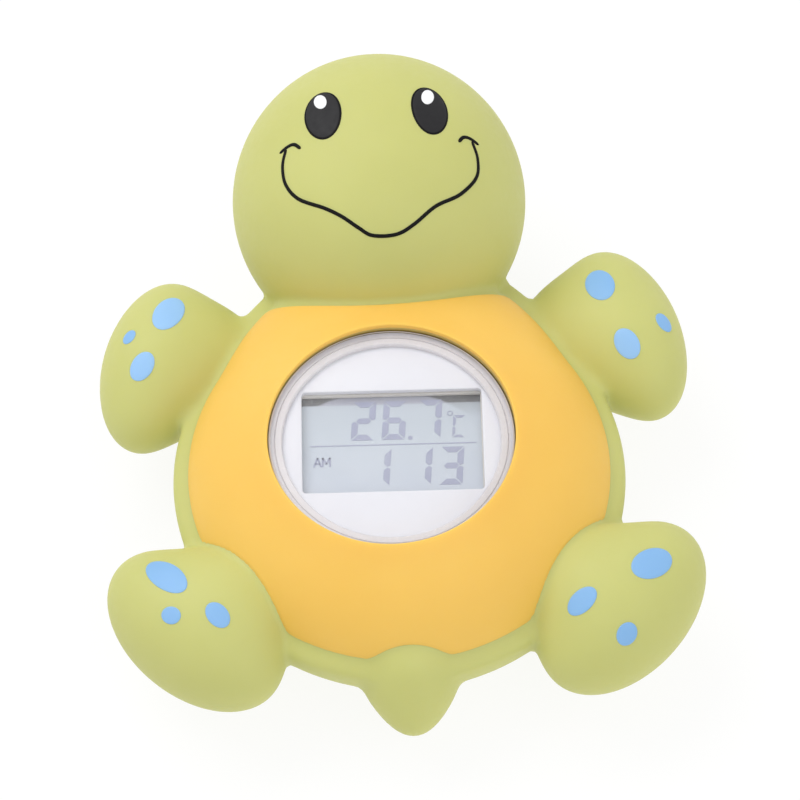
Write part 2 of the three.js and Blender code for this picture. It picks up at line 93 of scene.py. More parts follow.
# ---------------------------------------------------------------- distance field of the turtle

def blend_min(a, b, width):
    """The union of two fields, with a rounded crease about `width` across."""
    h = np.maximum(width - np.abs(a - b), 0) / width
    return np.minimum(a, b) - h * h * width / 4


def blend_max(a, b, width):
    return -blend_min(-a, -b, width)


def ellipse_field(offsets, radii):
    """Distance, to first order, from an ellipse or ellipsoid."""
    near = np.sqrt(sum((o / r) ** 2 for o, r in zip(offsets, radii)))
    slope = np.sqrt(sum((o / r ** 2) ** 2 for o, r in zip(offsets, radii)))
    return near * (near - 1) / np.maximum(slope, 1e-9)


def lobe(x, y, z, spec):
    centre, radii, turn = spec
    c, s = math.cos(math.radians(turn)), math.sin(math.radians(turn))
    dx, dy = x - centre[0], y - centre[1]
    offsets = (dx * c + dy * s, dy * c - dx * s, z - centre[2])
    return ellipse_field(offsets, radii)


def drawn_back(y):
    """Y before the trunk was drawn out towards the neck."""
    past = np.maximum(y - NECK_FROM, 0)
    return y - NECK_DRAW * (past - 1 + np.exp(-past))


def trunk_radius(x, y):
    return np.hypot(x, drawn_back(y))


def dome(x, y, z):
    reach = trunk_radius(x, y)
    field = ellipse_field((reach, z - DOME_BASE), (DOME_RADIUS, DOME_RISE))
    return np.maximum(field, DOME_FOOT - z)


def trunk(x, y, z):
    """The belly and the roll round the rim."""
    out = np.maximum(trunk_radius(x, y) - FLAT_RADIUS, 0)
    up = z - RIM_HEIGHT
    width = RIM_RADIUS - FLAT_RADIUS
    below = ellipse_field((out, up), (width, BELLY_DEPTH))
    above = ellipse_field((out, up), (width, ROLL_RISE))
    return np.where(up < 0, below, above)


def limbs(x, y, z):
    side = np.abs(x)
    along = y * np.where(x < 0, LEFT_DRAW, RIGHT_DRAW)
    arm_side = np.abs(x - ARM_SHIFT)
    arm = blend_min(lobe(arm_side, along, z, ARM), lobe(arm_side, along, z, SHOULDER), LIMB_BLEND)
    leg = blend_min(lobe(side, along, z, LEG), lobe(side, along, z, HIP), LIMB_BLEND)
    tail = blend_min(lobe(x, y, z, TAIL), lobe(x, y, z, TAIL_TIP), LIMB_BLEND)
    return arm, leg, tail


def turtle(points):
    x, y, z = points.T
    arm, leg, tail = limbs(x, y, z)
    field = blend_min(trunk(x, y, z), dome(x, y, z), RIM_BLEND)
    field = blend_min(field, arm, ARM_BLEND)
    field = blend_min(blend_min(field, leg, LEG_BLEND), tail, LEG_BLEND)
    return blend_min(field, lobe(x, y, z, HEAD), HEAD_BLEND)


def hollow_turtle(points):
    """The turtle's wall, open at the lens and at the belly."""
    x, y, z = points.T
    from_axis = np.hypot(x - MODULE_SHIFT, y)
    opening = np.where(z > RIM_HEIGHT, LENS_OPENING, BELLY_OPENING) - from_axis
    outside = turtle(points)
    return blend_max(np.maximum(outside, -outside - WALL), opening, OPENING_ROUND)


def slope(field, points, step=0.05):
    shifts = np.eye(3) * step
    return np.stack([(field(points + s) - field(points - s)) / (2 * step) for s in shifts], -1)


def onto(field, points, steps=4):
    """The points, moved along the field's slope onto its surface."""
    for _ in range(steps):
        gradient = slope(field, points)
        length = np.maximum((gradient ** 2).sum(-1), 0.05)
        points = points - (field(points) / length)[:, None] * gradient
    return points


def normals_at(points):
    gradient = slope(turtle, points)
    return gradient / np.linalg.norm(gradient, axis=1, keepdims=True)


def surface_net(field, low, high, size):
    """A closed quad mesh of field = 0: a point in each grid cell that the surface crosses."""
    axes = [np.arange(a, b + size, size) for a, b in zip(low, high)]
    grid = np.stack(np.meshgrid(*axes, indexing="ij"), -1)
    shape = grid.shape[:3]
    value = field(grid.reshape(-1, 3)).reshape(shape)
    inside = value < 0
    corners = np.array([(i, j, k) for i in (0, 1) for j in (0, 1) for k in (0, 1)])
    cell_shape = tuple(n - 1 for n in shape)
    filled = sum(inside[tuple(slice(c, c + n) for c, n in zip(corner, cell_shape))].astype(np.int8)
                 for corner in corners)
    crossed = (filled > 0) & (filled < 8)
    cells = np.argwhere(crossed)
    index = np.full(cell_shape, -1)
    index[crossed] = np.arange(len(cells))
    total, count = np.zeros((len(cells), 3)), np.zeros(len(cells))
    for a, first in enumerate(corners):
        for second in corners[a + 1:]:
            if np.abs(second - first).sum() != 1:
                continue
            start, end = value[tuple((cells + first).T)], value[tuple((cells + second).T)]
            cut = (start < 0) != (end < 0)
            share = start[cut] / (start[cut] - end[cut])
            total[cut] += cells[cut] + first + share[:, None] * (second - first)
            count[cut] += 1
    points = total / count[:, None] * size + np.array(low)
    # A quad for each grid edge that the surface crosses, between the points of the four cells round it.
    faces = []
    for axis in range(3):
        u, v = np.eye(3, dtype=int)[[(axis + 1) % 3, (axis + 2) % 3]]
        back = tuple(slice(0, -1) if i == axis else slice(None) for i in range(3))
        ahead = tuple(slice(1, None) if i == axis else slice(None) for i in range(3))
        edges = np.argwhere(inside[back] != inside[ahead])
        quads = np.stack([index[tuple((edges - d).T)] for d in (u + v, v, 0 * u, u)], 1)
        flip = ~inside[tuple(edges.T)]
        quads[flip] = quads[flip][:, ::-1]
        faces.append(quads)
    return points, np.concatenate(faces)


# ---------------------------------------------------------------- pieces

def in_object_frame(points):
    return (np.asarray(points, float) + (0, SHELL_AXIS_Y, 0)) * MM


def in_module(points):
    """From the module's own axes to the shell's frame."""
    c, s = math.cos(MODULE_TURN), math.sin(MODULE_TURN)
    x, y, z = np.asarray(points, float).T
    return np.stack([x * c - y * s + MODULE_SHIFT, x * s + y * c, z], -1)


def add_piece(name, points, faces, material, body, replaces=(), smooth=True):
    """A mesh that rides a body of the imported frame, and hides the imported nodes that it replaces."""
    mesh = bpy.data.meshes.new(name)
    mesh.from_pydata(in_object_frame(points).tolist(), [], [list(map(int, face)) for face in faces])
    mesh.validate()
    mesh.materials.append(material)
    mesh.polygons.foreach_set("use_smooth", [smooth] * len(mesh.polygons))
    piece = bpy.data.objects.new(name, mesh)
    bpy.context.scene.collection.objects.link(piece)
    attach(piece, body)
    if replaces:
        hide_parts(*replaces)
    return piece


def grid_faces(rows, columns):
    """Quads between closed rings of points, each ring joined to the next."""
    faces = []
    for row in range(rows - 1):
        a, b = row * columns, (row + 1) * columns
        for column in range(columns):
            after = (column + 1) % columns
            faces.append((a + column, a + after, b + after, b + column))
    return faces


def looped_grid_faces(rows, columns):
    """Quads between closed rings of points, with the last ring joined back to the first."""
    faces = grid_faces(rows, columns)
    tail = (rows - 1) * columns
    for column in range(columns):
        after = (column + 1) % columns
        faces.append((tail + column, tail + after, after, column))
    return faces


def capped_rings(rings):
    """A closed mesh through rings of points: the first and last ring shrink to a point each."""
    columns = len(rings[0])
    points = np.concatenate([*rings, [rings[0].mean(0)], [rings[-1].mean(0)]])
    faces = grid_faces(len(rings), columns)
    first, last = len(points) - 2, len(points) - 1
    tail = (len(rings) - 1) * columns
    for column in range(columns):
        after = (column + 1) % columns
        faces.append((first, after, column))
        faces.append((last, tail + column, tail + after))
    return points, faces


def turned(profile, segments=160):
    """A solid of revolution about Z. Its closed profile is [radius, height] points, clear of the axis."""
    angles = np.arange(segments) * 2 * math.pi / segments
    rings = [np.stack([r * np.cos(angles), r * np.sin(angles), np.full(segments, z)], -1) for r, z in profile]
    return np.concatenate(rings), looped_grid_faces(len(rings), segments)


# ---------------------------------------------------------------- materials

def node_material(name):
    material = bpy.data.materials.new(name)
    material.use_nodes = True
    tree = material.node_tree
    return material, tree, tree.nodes["Principled BSDF"]


def place(tree, kind, **settings):
    node = tree.nodes.new(kind)
    for key, value in settings.items():
        setattr(node, key, value)
    return node


def object_noise(tree, scale):
    """Noise in the object's own coordinates. The scale is per metre."""
    where = place(tree, "ShaderNodeTexCoord")
    noise = place(tree, "ShaderNodeTexNoise")
    noise.inputs["Scale"].default_value = scale
    noise.inputs["Detail"].default_value = 3.0
    noise.inputs["Roughness"].default_value = 0.5
    tree.links.new(where.outputs["Object"], noise.inputs["Vector"])
    return noise.outputs["Fac"]


def ramp(tree, source, stops):
    """A colour ramp: each stop is (place, colour)."""
    node = place(tree, "ShaderNodeValToRGB")
    elements = node.color_ramp.elements
    while len(elements) < len(stops):
        elements.new(0.5)
    for element, (position, color) in zip(elements, stops):
        element.position = position
        element.color = (*color, 1)
    tree.links.new(source, node.inputs["Fac"])
    return node.outputs["Color"]


def srgb(red, green, blue):
    """Screen values of 11 to 255 as linear colour."""
    return tuple(((c / 255 + 0.055) / 1.055) ** 2.4 for c in (red, green, blue))


def grained(tree, shader, layers, strength, distance):
    """Bump from noise layers of (scale, weight)."""
    height = None
    for scale, weight in layers:
        layer = place(tree, "ShaderNodeMath", operation="MULTIPLY")
        layer.inputs[1].default_value = weight
        tree.links.new(object_noise(tree, scale), layer.inputs[0])
        if height is None:
            height = layer.outputs[0]
            continue
        both = place(tree, "ShaderNodeMath", operation="ADD")
        tree.links.new(height, both.inputs[0])
        tree.links.new(layer.outputs[0], both.inputs[1])
        height = both.outputs[0]
    bump = place(tree, "ShaderNodeBump")
    bump.inputs["Strength"].default_value = strength
    bump.inputs["Distance"].default_value = distance
    tree.links.new(height, bump.inputs["Height"])
    tree.links.new(bump.outputs["Normal"], shader.inputs["Normal"])


def vary(tree, shader, colors, scale, rough, rough_scale):
    """Slow colour change between two tones, and finer change in roughness."""
    tone = ramp(tree, object_noise(tree, scale), [(0.3, colors[0]), (0.7, colors[1])])
    tree.links.new(tone, shader.inputs["Base Color"])
    gloss = place(tree, "ShaderNodeMapRange")
    gloss.inputs["From Min"].default_value = 0.3
    gloss.inputs["From Max"].default_value = 0.7
    gloss.inputs["To Min"].default_value = rough[0]
    gloss.inputs["To Max"].default_value = rough[1]
    tree.links.new(object_noise(tree, rough_scale), gloss.inputs["Value"])
    tree.links.new(gloss.outputs["Result"], shader.inputs["Roughness"])


def soft_vinyl(name, dark, light, rough=(0.5, 0.62), subsurface=0.25, specular=0.38):
    """Matt rotocast vinyl: light soaks in a little, and the surface has a fine cast grain."""
    material, tree, shader = node_material(name)
    vary(tree, shader, (dark, light), 45, rough, 900)
    shader.inputs["Subsurface Weight"].default_value = subsurface
    shader.inputs["Subsurface Radius"].default_value = (1.0, 0.8, 0.35)
    shader.inputs["Subsurface Scale"].default_value = 0.0025
    shader.inputs["Specular IOR Level"].default_value = specular
    grained(tree, shader, [(3200, 0.6), (700, 0.4)], 0.12, 0.00008)
    return material


def hard_plastic(name, dark, light, rough, grain=0.05, scale=2500):
    """Moulded plastic, rubber or board, with a faint surface grain."""
    material, tree, shader = node_material(name)
    vary(tree, shader, (dark, light), 60, rough, 1200)
    grained(tree, shader, [(scale, 1.0)], grain, 0.00005)
    return material


def metal(name, dark, light, rough):
    material, tree, shader = node_material(name)
    vary(tree, shader, (dark, light), 300, rough, 600)
    shader.inputs["Metallic"].default_value = 1.0
    grained(tree, shader, [(1800, 1.0)], 0.05, 0.00003)
    return material


def clear_plastic(name):
    """Clear moulded plastic: what is behind shows through, and the surface keeps its gloss."""
    material, tree, shader = node_material(name)
    shader.inputs["Base Color"].default_value = (0.95, 0.96, 0.97, 1)
    shader.inputs["Roughness"].default_value = 0.05
    shader.inputs["IOR"].default_value = 1.49
    haze = place(tree, "ShaderNodeMapRange")
    haze.inputs["From Min"].default_value = 0.35
    haze.inputs["From Max"].default_value = 0.75
    haze.inputs["To Min"].default_value = 0.05
    haze.inputs["To Max"].default_value = 0.09
    tree.links.new(object_noise(tree, 120), haze.inputs["Value"])
    tree.links.new(haze.outputs["Result"], shader.inputs["Alpha"])
    return material


def painted_light_plastic(name, color):
    """Clear plastic drawn as even pale grey: painted light for the light carried inside its thickness."""
    material, tree, shader = node_material(name)
    vary(tree, shader, (srgb(*color), srgb(*(c + 9 for c in color))), 90, (0.2, 0.3), 900)
    return material


GREEN = soft_vinyl("vinyl_green", srgb(198, 199, 120), srgb(203, 204, 126))
YELLOW = soft_vinyl("vinyl_yellow", srgb(248, 196, 90), srgb(252, 201, 97), (0.55, 0.68))
# The lens lip's inner wall: olive, partly the green vinyl with yellow overspray and partly painted shade.
LIP_OVERSPRAY_AND_SHADE = soft_vinyl("lip_overspray_and_shade", srgb(204, 178, 98), srgb(209, 184, 104))
BLUE = soft_vinyl("spot_blue", srgb(131, 181, 229), srgb(139, 187, 235), (0.45, 0.55), 0.1)
# A paler copy of the spot blue: painted light, for spots that look lighter only by how light falls on them.
BLUE_PAINTED_LIGHT = soft_vinyl("spot_blue_painted_light", srgb(147, 193, 238), srgb(153, 198, 243), (0.45, 0.55), 0.1)
BLACK = soft_vinyl("face_black", srgb(14, 13, 14), srgb(20, 19, 19), (0.6, 0.7), 0.0, 0.15)
PUPIL = soft_vinyl("pupil_grey", srgb(24, 23, 26), srgb(30, 29, 32), (0.55, 0.65), 0.0)
WHITE = soft_vinyl("eye_white", srgb(246, 247, 248), srgb(252, 252, 252), (0.35, 0.45), 0.05)


# ---------------------------------------------------------------- vinyl skin

def build_skin():
    size = SKIN_GRID
    points, faces = surface_net(hollow_turtle, *SKIN_BOX, size)
    points = onto(hollow_turtle, points, 3)
    return add_piece("vinyl_skin", points, faces, GREEN, "turtle", ["turtle_skin"])


# ---------------------------------------------------------------- painted shell

def shell_edge_field(x, y):
    """Below zero inside the yellow shell's outline, seen from above."""
    corner_x, corner_y = SHELL_NECK_CORNER
    neck = y - SHELL_NECK_MIDDLE - (corner_y - SHELL_NECK_MIDDLE) * (x / corner_x) ** 2
    edge = blend_max(trunk_radius(x, y) - SHELL_EDGE, neck, SHELL_NECK_BLEND)
    z = shell_height(x, y)
    _, leg, tail = limbs(x, y, z)
    for limb in (leg, tail):
        edge = blend_max(edge, -SHELL_LIMB_GAP - limb, SHELL_LIMB_BLEND)
    return edge


def shell_height(x, y):
    """The dome's height, which the shell lies on."""
    share = np.clip(1 - (trunk_radius(x, y) / DOME_RADIUS) ** 2, 0.01, 1)
    return DOME_BASE + DOME_RISE * np.sqrt(share)


def shell_edge_radii(cos, sin):
    """The edge's distance from the module's axis along each ray, found by halving."""
    near, far = np.full(len(cos), LIP_RADIUS), np.full(len(cos), SHELL_SEARCH)
    for _ in range(30):
        middle = (near + far) / 2
        inside = shell_edge_field(MODULE_SHIFT + middle * cos, middle * sin) < 0
        near, far = np.where(inside, middle, near), np.where(inside, far, middle)
    return near


def build_shell():
    """The raised yellow field: rings of points from the lens's lip out to the edge, then back under it."""
    columns = 360
    angles = np.arange(columns) * 2 * math.pi / columns
    cos, sin = np.cos(angles), np.sin(angles)
    outer = shell_edge_radii(cos, sin)

    def ring(radius, lift):
        x, y = MODULE_SHIFT + radius * cos, radius * sin
        return np.stack([x, y, shell_height(x, y) + lift], -1)

    def lip(radius):
        past = (radius - LIP_RADIUS) / LIP_WIDTH
        return SHELL_RAISE + LIP_RISE * np.exp(-past ** 2)

    rings = [ring(np.full(columns, LIP_RADIUS), -SHELL_SINK - 1.2), ring(np.full(columns, LIP_RADIUS), 0.2)]
    for turn in np.radians([0, 22, 45, 67, 90]):
        radius = LIP_RADIUS + LIP_ROUND * (1 - math.cos(turn))
        rings.append(ring(np.full(columns, radius), lip(radius) - LIP_ROUND * (1 - math.sin(turn))))
    start = LIP_RADIUS + LIP_ROUND
    stop = outer - SHELL_ROUND
    for share in np.linspace(0, 1, 26)[1:]:
        radius = start + (stop - start) * share
        rings.append(ring(radius, lip(radius)))
    for turn in np.radians([18, 36, 54, 72, 90]):
        radius = stop + SHELL_ROUND * math.sin(turn)
        rings.append(ring(radius, lip(radius) - SHELL_ROUND * (1 - math.cos(turn))))
    rings.append(ring(outer, -SHELL_SINK))
    for share in np.linspace(1, 0, 7)[1:-1]:
        rings.append(ring(start + (outer - start) * share, -SHELL_SINK))
    faces = [face[::-1] for face in looped_grid_faces(len(rings), columns)]
    panel = add_piece("shell_panel", np.concatenate(rings), faces, YELLOW, "turtle")
    # The first band of faces, the inner wall of the lens opening, takes the olive that is partly painted
    # shade.
    panel.data.materials.append(LIP_OVERSPRAY_AND_SHADE)
    for face in panel.data.polygons[:columns]:
        face.material_index = 1
    return panel


# ---------------------------------------------------------------- spots and face

# Spots: centre, half length, half width and turn in degrees from the surface's east.
SPOTS = {
    "spot_arm_right_1": ((37.3, 32.3, 26.2), 3.68, 2.58, 105),
    "spot_arm_right_2": ((47.8, 24.5, 24.7), 1.91, 1.53, 135),
    "spot_arm_right_3": ((41.0, 20.1, 26.0), 2.92, 2.12, 112),
    "spot_arm_left_1": ((-38.3, 31.8, 26.5), 4.16, 2.63, 64),
    "spot_arm_left_2": ((-45.5, 27.7, 25.9), 1.44, 1.20, 52),
    "spot_arm_left_3": ((-43.3, 21.3, 26.3), 2.81, 2.04, 57),
    "spot_leg_right_1": ((41.2, -23.9, 28.1), 4.11, 2.72, 30),
    "spot_leg_right_2": ((28.8, -30.1, 27.8), 3.03, 1.90, 33),
    "spot_leg_right_3": ((35.9, -35.7, 25.7), 2.06, 1.77, 68),
    "spot_leg_left_1": ((-40.5, -20.5, 27.8), 4.90, 2.49, 131),
    "spot_leg_left_2": ((-32.1, -28.9, 28.8), 2.48, 1.81, 127),
    "spot_leg_left_3": ((-40.0, -28.1, 28.1), 1.76, 1.50, 155),
}
# These spots take the paler blue, painted light rather than a paint of their own.
PAINTED_LIGHT_SPOTS = ("spot_arm_left_1", "spot_arm_left_3", "spot_arm_right_3")
EYE_OUTLINE = 0.32              # the black rim round each pupil
EYES = {
    "eye_left": ((-9.4, 57.55, 47.1), 5.65, 3.48, 97),
    "eye_right": ((9.35, 57.3, 47.1), 5.6, 3.45, 87),
}
PUPILS = {name.replace("eye", "pupil"): (centre, length - EYE_OUTLINE, width - EYE_OUTLINE, turn)
          for name, (centre, length, width, turn) in EYES.items()}
GLINTS = {
    "eye_glint_left": ((-9.6, 60.5, 46.3), 1.91, 1.13, 109),
    "eye_glint_right": ((9.1, 60.1, 46.6), 1.99, 1.12, 70),
}
# Mouth and its end ticks: sideways and forward angles from the head's centre, in degrees.
MOUTH = [
    (-39.1, -0.4), (-41.3, -9.5), (-40.1, -20.0), (-34.2, -28.2), (-22.6, -33.3),
    (-15.8, -37.0), (-9.5, -41.6), (-4.2, -44.8), (5.0, -44.9), (12.2, -41.5),
    (21.5, -35.1), (33.0, -30.5), (41.5, -22.0), (43.0, -11.2), (40.8, -1.6),
]
TICKS = {
    "mouth_tick_left": [(-42.4, -1.4), (-38.6, 0.2), (-35.2, 0.0), (-32.2, -3.6)],
    "mouth_tick_right": [(34.2, -4.5), (36.8, -1.0), (40.2, -0.6), (44.3, -2.6)],
}
MOUTH_WIDTH = 0.66


def build_patch(name, spec, material, height=0.1):
    """An ellipse of paint: thin, closed, and bent to the skin."""
    centre, half_length, half_width, turn = spec
    centre = onto(turtle, np.array([centre], float))
    normal = normals_at(centre)[0]
    east = np.cross((0, 1, 0), normal)
    east /= np.linalg.norm(east)
    north = np.cross(normal, east)
    c, s = math.cos(math.radians(turn)), math.sin(math.radians(turn))
    along, across = c * east + s * north, c * north - s * east
    angles = np.arange(72) * 2 * math.pi / 72
    ellipse = (half_length * np.cos(angles)[:, None] * along
               + half_width * np.sin(angles)[:, None] * across)
    # From under the skin, up over the rounded edge and in across the top: share of the ellipse, and lift.
    section = ((0.35, -0.3), (1.0, -0.3), (1.0, 0.0), (0.985, height * 0.75), (0.95, height),
               (0.75, height), (0.5, height), (0.25, height))
    rings = []
    for share, lift in section:
        points = onto(turtle, centre + share * ellipse)
        rings.append(points + lift * normals_at(points))
    points, faces = capped_rings(rings)
    return add_piece(name, points, faces, material, "turtle")


def through(points, per_span=10):
    """A Catmull-Rom curve through the points."""
    points = np.array(points, float)
    padded = np.concatenate([[2 * points[0] - points[1]], points, [2 * points[-1] - points[-2]]])
    curve = []
    for before, start, end, after in zip(padded, padded[1:], padded[2:], padded[3:]):
        for t in np.arange(per_span) / per_span:
            curve.append(0.5 * (2 * start + (end - before) * t
                                + (2 * before - 5 * start + 4 * end - after) * t ** 2
                                + (3 * start - before - 3 * end + after) * t ** 3))
    return np.array([*curve, points[-1]])


def build_line(name, angles, width, height=0.1):
    """A painted line on the head, with round tapered ends."""
    sideways, forward = np.radians(through(angles)).T
    ahead = np.tan(forward)
    direction = np.stack([np.tan(sideways) * np.hypot(ahead, 1), ahead, np.ones_like(ahead)], -1)
    direction /= np.linalg.norm(direction, axis=1, keepdims=True)
    path = onto(turtle, np.array(HEAD[0]) + direction * HEAD[1][0], 6)
    tangent = np.gradient(path, axis=0)
    tangent /= np.linalg.norm(tangent, axis=1, keepdims=True)
    normal = normals_at(path)
    side = np.cross(normal, tangent)
    run = np.concatenate([[0], np.cumsum(np.linalg.norm(np.diff(path, axis=0), axis=1))])
    from_end = np.minimum(run, run[-1] - run) / width
    half = width / 2 * np.sqrt(np.clip(1 - (1 - np.clip(from_end, 0.02, 1)) ** 2, 0, 1))[:, None]
    section = ((-1, -0.2), (1, -0.2), (1, 0.02), (0.8, height * 0.8), (0, height), (-0.8, height * 0.8),
               (-1, 0.02))
    rings = np.stack([path + half * u * side + lift * normal for u, lift in section], 1)
    points, faces = capped_rings(list(rings))
    faces = [face[::-1] for face in faces]
    return add_piece(name, points, faces, BLACK, "turtle")


# ---------------------------------------------------------------- display

def flat_outline(name, outlines, bottom, top, bevel, material, replaces):
    """A plate cut to closed outlines, the first outside and the rest holes, with rounded edges."""
    curve = bpy.data.curves.new(name, "CURVE")
    curve.dimensions = "2D"
    curve.fill_mode = "BOTH"
    curve.extrude = ((top - bottom) / 2 - bevel) * MM
    curve.bevel_depth = bevel * MM
    curve.bevel_resolution = 3
    for outline in outlines:
        spline = curve.splines.new("POLY")
        spline.points.add(len(outline) - 1)
        for point, (x, y) in zip(spline.points, outline):
            point.co = (x * MM, y * MM, 0, 1)
        spline.use_cyclic_u = True
    holder = bpy.data.objects.new(name + "_outline", curve)
    mesh = bpy.data.meshes.new_from_object(holder)
    bpy.data.objects.remove(holder)
    points = np.array([tuple(v.co) for v in mesh.vertices]) / MM
    points[:, 2] += (bottom + top) / 2
    faces = [tuple(p.vertices) for p in mesh.polygons]
    piece = add_piece(name, in_module(points), faces, material, "module", replaces)
    bpy.data.meshes.remove(mesh)
    return tidy_mesh(piece)


def tidy_mesh(piece, crease=35):
    """Joins doubled points and keeps real corners sharp."""
    work = bmesh.new()
    work.from_mesh(piece.data)
    bmesh.ops.remove_doubles(work, verts=work.verts, dist=JOIN_DISTANCE)
    bmesh.ops.recalc_face_normals(work, faces=work.faces)
    work.to_mesh(piece.data)
    work.free()
    piece.data.set_sharp_from_angle(angle=math.radians(crease))
    return piece


def circle_outline(radius, count=160):
    angles = np.arange(count) * 2 * math.pi / count
    return [(radius * math.cos(a), radius * math.sin(a)) for a in angles]


def rounded_box(width, depth, radius, steps=8):
    outline = []
    for quarter, (sx, sy) in enumerate(((1, 1), (-1, 1), (-1, -1), (1, -1))):
        for step in range(steps + 1):
            angle = (quarter + step / steps) * math.pi / 2
            outline.append((sx * (width / 2 - radius) + radius * math.cos(angle),
                            sy * (depth / 2 - radius) + radius * math.sin(angle)))
    return outline


def build_faceplate():
    white = hard_plastic("faceplate_white", srgb(226, 226, 234), srgb(231, 231, 238), (0.35, 0.45))
    window = [(x + WINDOW_CENTRE[0], y + WINDOW_CENTRE[1]) for x, y in rounded_box(*WINDOW, 0.8)]
    outlines = [circle_outline(PLATE_RADIUS), window]
    return flat_outline("display_faceplate", outlines, PLATE_BOTTOM, PLATE_TOP, 0.16, white,
                        ["faceplate"])


def build_cover_window(clear, skirt):
    """The clear window. Its side face has the skirt's pale grey painted light, because its thickness is seen
    there.
    """
    foot = COVER_TOP - COVER_THICKNESS
    profile = [
        (0.01, foot), (COVER_RADIUS, foot), (COVER_RADIUS, COVER_TOP - 0.4),
        (COVER_RADIUS - 0.12, COVER_TOP - 0.12), (COVER_RADIUS - 0.4, COVER_TOP), (0.01, COVER_TOP),
    ]
    points, faces = turned(profile)
    faces = [face[::-1] for face in faces]
    window = add_piece("cover_window", in_module(points), faces, clear, "module",
                       ["clear_cover"])
    tidy_mesh(window, 30)
    window.data.materials.append(skirt)
    axis = Vector(in_object_frame(in_module([(0, 0, 0)]))[0]).to_2d()
    side_from = (COVER_RADIUS - 0.45) * MM
    for face in window.data.polygons:
        if (face.center.to_2d() - axis).length > side_from:
            face.material_index = 1


def build_cover_skirt(skirt):
    """The skirt under the window, with its flange at the foot and a fine groove round the top."""
    top = COVER_TOP - COVER_THICKNESS - 0.08
    lip_foot = PLATE_TOP + 0.04
    profile = [
        (COVER_BORE, FLANGE_FOOT), (FLANGE_RADIUS, FLANGE_FOOT), (FLANGE_RADIUS, FLANGE_TOP - 0.2),
        (FLANGE_RADIUS - 0.2, FLANGE_TOP), (COVER_RADIUS, FLANGE_TOP), (COVER_RADIUS, top - 0.1),
        (COVER_RADIUS - 0.1, top), (20.0, top), (19.9, top - 0.2), (19.75, top),
        (COVER_LIP + 0.2, top), (COVER_LIP, top - 0.2), (COVER_LIP, lip_foot), (COVER_BORE, lip_foot),
    ]
    points, faces = turned(profile)
    faces = [face[::-1] for face in faces]
    piece = add_piece("cover_skirt", in_module(points), faces, skirt, "module")
    tidy_mesh(piece, 30)


def build_cover():
    """The cover looks clear through its window. Its skirt is painted light: pale grey for the light inside
    it.
    """
    clear = clear_plastic("cover_clear")
    # The skirt's pale grey is painted light, for light carried inside the clear plastic.
    skirt = painted_light_plastic("cover_skirt", (214, 210, 214))
    build_cover_window(clear, skirt)
    build_cover_skirt(skirt)


SHAPES = {"1": "bc", "2": "abged", "3": "abgcd", "6": "afgedc", "7": "abc", "C": "afed"}
# Characters on the display: shape, left, bottom, width, height and bar thickness.
CHARACTERS = [
    ("2", -7.0, 1.45, 4.0, 7.5, 1.1), ("6", -1.75, 1.45, 4.0, 7.5, 1.1), ("7", 4.3, 1.55, 4.0, 7.5, 1.1),
    ("C", 10.3, 1.6, 2.2, 4.3, 0.5),
    ("1", -4.6, -7.5, 4.0, 7.3, 1.1), ("1", 2.45, -7.4, 4.0, 7.3, 1.1), ("3", 7.8, -7.5, 4.0, 7.3, 1.1),
]
SLANT = math.tan(math.radians(4.5))
BAR_GAP = 0.16
POINT_CENTRE, DEGREE_CENTRE, DOT_RADIUS = (3.2, 1.75), (10.1, 6.3), 0.42
DIVIDER_START, DIVIDER_END = (-13.9, 0.5), (14.4, 0.5)
# The two small letters: left edge and strokes, from the foot of the letter.
LETTER_FOOT, LETTER_STROKE = -3.5, 0.32
LETTERS = (
    (-13.3, (((0, 0), (0.62, 1.75)), ((0.62, 1.75), (1.24, 0)), ((0.25, 0.6), (1.0, 0.6)))),
    (-11.8, (((0, 0), (0, 1.75)), ((0, 1.75), (0.62, 0.5)), ((0.62, 0.5), (1.24, 1.75)),
             ((1.24, 1.75), (1.24, 0)))),
)


def bar_outlines(width, height, thick):
    """The seven bars of a digit, mitred where they meet, by their usual letters."""
    gap, middle, half = BAR_GAP, height / 2, thick / 2
    top = [(gap, height), (width - gap, height), (width - thick - gap, height - thick),
           (thick + gap, height - thick)]
    right = [(width, height - gap), (width - thick, height - thick - gap),
             (width - thick, middle + half + gap / 2), (width - half, middle + gap / 2),
             (width, middle + half / 2 + gap / 2)]
    centre = [(half + gap, middle), (thick + gap / 2, middle + half),
              (width - thick - gap / 2, middle + half), (width - half - gap, middle),
              (width - thick - gap / 2, middle - half), (thick + gap / 2, middle - half)]

    def down(outline):
        return [(x, height - y) for x, y in outline][::-1]

    def across(outline):
        return [(width - x, y) for x, y in outline][::-1]

    return {"a": top[::-1], "b": right, "c": down(right), "d": down(top[::-1]), "e": across(down(right)),
            "f": across(right), "g": centre[::-1]}


def character_outlines(shape, left, bottom, width, height, thick):
    bars = bar_outlines(width, height, thick)
    return [[(left + x + y * SLANT, bottom + y) for x, y in bars[bar]] for bar in SHAPES[shape]]


def stroke_outline(start, end, thickness):
    """A straight bar from start to end."""
    start, end = np.array(start, float), np.array(end, float)
    along = (end - start) / np.linalg.norm(end - start)
    side = np.array([-along[1], along[0]]) * thickness / 2
    return [start - side, end - side, end + side, start + side]


def prisms(outlines, bottom, top):
    """Closed flat prisms over convex outlines."""
    points, faces = [], []
    for outline in outlines:
        first, count = len(points), len(outline)
        points += [(x, y, bottom) for x, y in outline] + [(x, y, top) for x, y in outline]
        faces.append([first + i for i in range(count)][::-1])
        faces.append([first + count + i for i in range(count)])
        for i in range(count):
            after = (i + 1) % count
            faces.append((first + i, first + after, first + count + after, first + count + i))
    return np.array(points), faces


def circle_points(centre, radius, count=16):
    angles = np.arange(count + 1) * 2 * math.pi / count
    return [(centre[0] + radius * math.cos(a), centre[1] + radius * math.sin(a)) for a in angles]


def letter_outlines():
    outlines = []
    for left, strokes in LETTERS:
        for start, end in strokes:
            ends = [(left + x, LETTER_FOOT + y) for x, y in (start, end)]
            outlines.append(stroke_outline(*ends, LETTER_STROKE))
    return outlines


